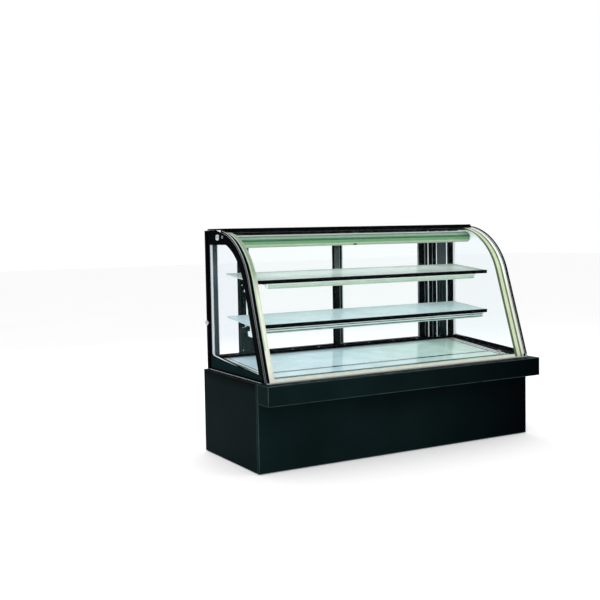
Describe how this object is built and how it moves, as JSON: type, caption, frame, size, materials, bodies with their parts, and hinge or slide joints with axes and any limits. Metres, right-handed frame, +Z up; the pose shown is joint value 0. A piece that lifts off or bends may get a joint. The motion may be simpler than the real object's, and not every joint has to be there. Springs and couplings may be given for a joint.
{
  "type": "glass display showcase",
  "caption": "Curved-glass refrigerated display showcase: glossy black base with a front ledge, inclined glass deck and shelves, top lamp and sliding rear doors.",
  "frame": {"origin": "on the floor under the middle of the case, at the soles of the levelling feet", "axes": "+X along the case to the customer's right, +Y to the rear (staff side), +Z up"},
  "size_m": [1.8, 0.75, 1.248],
  "materials": {
    "board_black": "high-gloss black laminate with a faint blue-green cast",
    "frame_black": "satin black powder coat on aluminium section",
    "duct_slate": "slate grey powder coat with black corner",
    "sheet_black": "textured black powder coat",
    "tub_shell": "foam-filled moulded liner",
    "zinc_steel": "zinc plated sheet",
    "fin_aluminium": "mill finish fins",
    "compressor_black": "gloss black enamel",
    "fan_metal": "pressed blades",
    "fan_white": "moulded blades",
    "clear_glass": "clear tempered glass with a black printed border",
    "shelf_glass": "pale aqua tempered glass, polished edges",
    "spacer_cream": "pale cream green edge trim",
    "lamp_mint": "pale mint reflector",
    "lamp_white": "frosted white lens",
    "bracket_white": "white powder coat",
    "chrome_cap": "polished",
    "black_plastic": "moulded",
    "foot_rubber": "moulded",
    "button_white": "moulded",
    "switch_green": "lit rocker",
    "switch_amber": "lit rocker"
  },
  "bodies": {
    "cabinet": {"front_panel": "board_black", "left_side_panel": "board_black", "right_side_panel": "board_black", "ledge": "board_black", "lid": "frame_black", "left_curb": "frame_black", "right_curb": "frame_black", "rear_sill": "frame_black", "top_track": "frame_black", "left_upright": "frame_black", "right_upright": "frame_black", "lower_shelf_nosing": "frame_black", "upper_shelf_nosing": "frame_black", "left_corner_pane": "duct_slate", "right_corner_duct": "duct_slate", "rear_panel": "sheet_black", "rear_grille": "sheet_black", "condenser_shroud": "sheet_black", "tub": "tub_shell", "base_plate": "zinc_steel", "fan_plate": "zinc_steel", "condenser_coil": "fin_aluminium", "evaporator_coil": "fin_aluminium", "compressor": "compressor_black", "left_side_glass": "clear_glass", "right_side_glass": "clear_glass", "front_glass": "clear_glass", "front_glass_inner": "clear_glass", "deck_glass": "shelf_glass", "lower_shelf_glass": "shelf_glass", "upper_shelf_glass": "shelf_glass", "glass_spacer": "spacer_cream", "lamp_housing": "lamp_mint", "lower_led_bar": "lamp_mint", "upper_led_bar": "lamp_mint", "lamp_diffuser": "lamp_white", "lower_left_bracket": "bracket_white", "lower_right_bracket": "bracket_white", "upper_left_bracket": "bracket_white", "upper_right_bracket": "bracket_white", "left_glass_cap": "chrome_cap", "right_glass_cap": "chrome_cap", "control_box": "black_plastic", "power_inlet": "black_plastic", "foot_front_left": "foot_rubber", "foot_front_right": "foot_rubber", "foot_rear_left": "foot_rubber", "foot_rear_right": "foot_rubber"},
    "left_door": {"left_door_frame": "frame_black", "left_door_glass": "clear_glass"},
    "right_door": {"right_door_frame": "frame_black", "right_door_glass": "clear_glass"},
    "left_fan": {"left_evaporator_fan": "fan_white"},
    "right_fan": {"right_evaporator_fan": "fan_white"},
    "condenser_rotor": {"condenser_fan": "fan_metal"},
    "tray": {"condensate_tray": "black_plastic"},
    "power_rocker": {"power_switch": "switch_green"},
    "light_rocker": {"light_switch": "switch_amber"},
    "up_key": {"up_button": "button_white"},
    "down_key": {"down_button": "button_white"}
  },
  "joints": [
    {"name": "left_door_slide", "type": "slide", "parent": "cabinet", "child": "left_door", "axis": [1, 0, 0], "range_m": [0, 0.6]},
    {"name": "right_door_slide", "type": "slide", "parent": "cabinet", "child": "right_door", "axis": [-1, 0, 0], "range_m": [0, 0.6]},
    {"name": "left_fan_spin", "type": "hinge", "parent": "cabinet", "child": "left_fan", "pos_m": [-0.26, 0.007, 0.392], "axis": [0, 1, 0], "continuous": true},
    {"name": "right_fan_spin", "type": "hinge", "parent": "cabinet", "child": "right_fan", "pos_m": [0.26, 0.007, 0.392], "axis": [0, 1, 0], "continuous": true},
    {"name": "condenser_fan_spin", "type": "hinge", "parent": "cabinet", "child": "condenser_rotor", "pos_m": [0.35, 0.289, 0.18], "axis": [0, 1, 0], "continuous": true},
    {"name": "tray_slide", "type": "slide", "parent": "cabinet", "child": "tray", "axis": [0, 1, 0], "range_m": [0, 0.26]},
    {"name": "power_rock", "type": "hinge", "parent": "cabinet", "child": "power_rocker", "pos_m": [-0.36, 0.368, 0.4], "axis": [0, 0, 1], "range_deg": [0, 12]},
    {"name": "light_rock", "type": "hinge", "parent": "cabinet", "child": "light_rocker", "pos_m": [-0.31, 0.368, 0.4], "axis": [0, 0, 1], "range_deg": [0, 12]},
    {"name": "up_press", "type": "slide", "parent": "cabinet", "child": "up_key", "axis": [0, -1, 0], "range_m": [0, 0.0012], "stiffness_N_per_m": 150},
    {"name": "down_press", "type": "slide", "parent": "cabinet", "child": "down_key", "axis": [0, -1, 0], "range_m": [0, 0.0012], "stiffness_N_per_m": 150}
  ]
}
